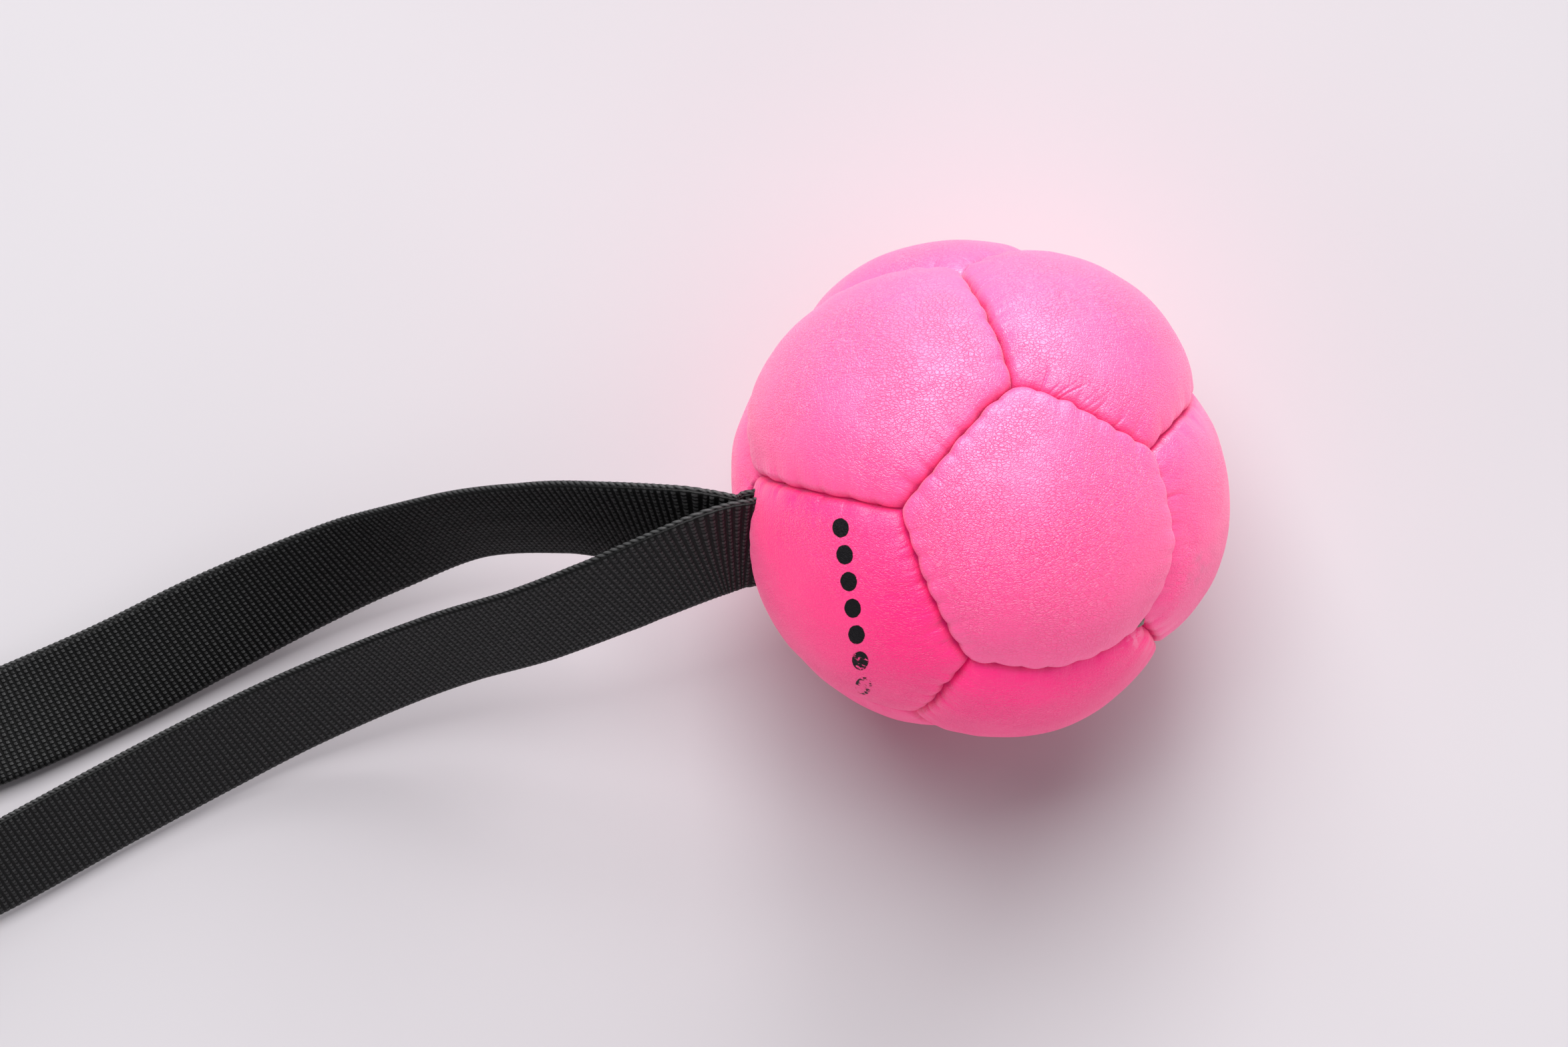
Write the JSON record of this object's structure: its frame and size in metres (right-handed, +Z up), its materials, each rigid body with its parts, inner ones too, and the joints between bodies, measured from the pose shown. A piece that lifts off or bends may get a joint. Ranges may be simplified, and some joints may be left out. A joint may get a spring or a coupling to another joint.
{
  "type": "stitched ball on a webbing loop",
  "caption": "Soft hand-stitched ball of five-sided panels, with a flat webbing hand loop sewn into one seam.",
  "frame": {"origin": "on the surface the ball rests on, under the centre of the ball", "axes": "+Z up; the webbing loop leaves the ball towards -X; +Y is the far side when it is seen from above with the loop to the left"},
  "size_m": [0.2674, 0.1237, 0.0785],
  "materials": {
    "pink_leather": "satin",
    "pink_thread": "matte",
    "black_webbing": "matte",
    "white_fibre": "matte"
  },
  "bodies": {
    "ball": {"top_panel": "pink_leather", "upper_panel_1": "pink_leather", "upper_panel_2": "pink_leather", "upper_panel_3": "pink_leather", "upper_panel_4": "pink_leather", "upper_panel_5": "pink_leather", "lower_panel_1": "pink_leather", "lower_panel_2": "pink_leather", "lower_panel_3": "pink_leather", "lower_panel_4": "pink_leather", "lower_panel_5": "pink_leather", "bottom_panel": "pink_leather", "top_ring_thread": "pink_thread", "upper_spoke_thread": "pink_thread", "equator_thread": "pink_thread", "lower_spoke_thread": "pink_thread", "bottom_ring_thread": "pink_thread", "strap_seam_thread": "pink_thread", "fibre_filling": "white_fibre", "strap_tails": "black_webbing", "tail_box_thread": "pink_thread"},
    "loop": {"strap_loop": "black_webbing"}
  },
  "joints": [
    {"name": "loop_fold", "type": "hinge", "parent": "ball", "child": "loop", "pos_m": [-0.03914, -0.00863, 0.04764], "axis": [-0.0062, 0.7216, 0.6922], "range_deg": [-60, 60]}
  ]
}
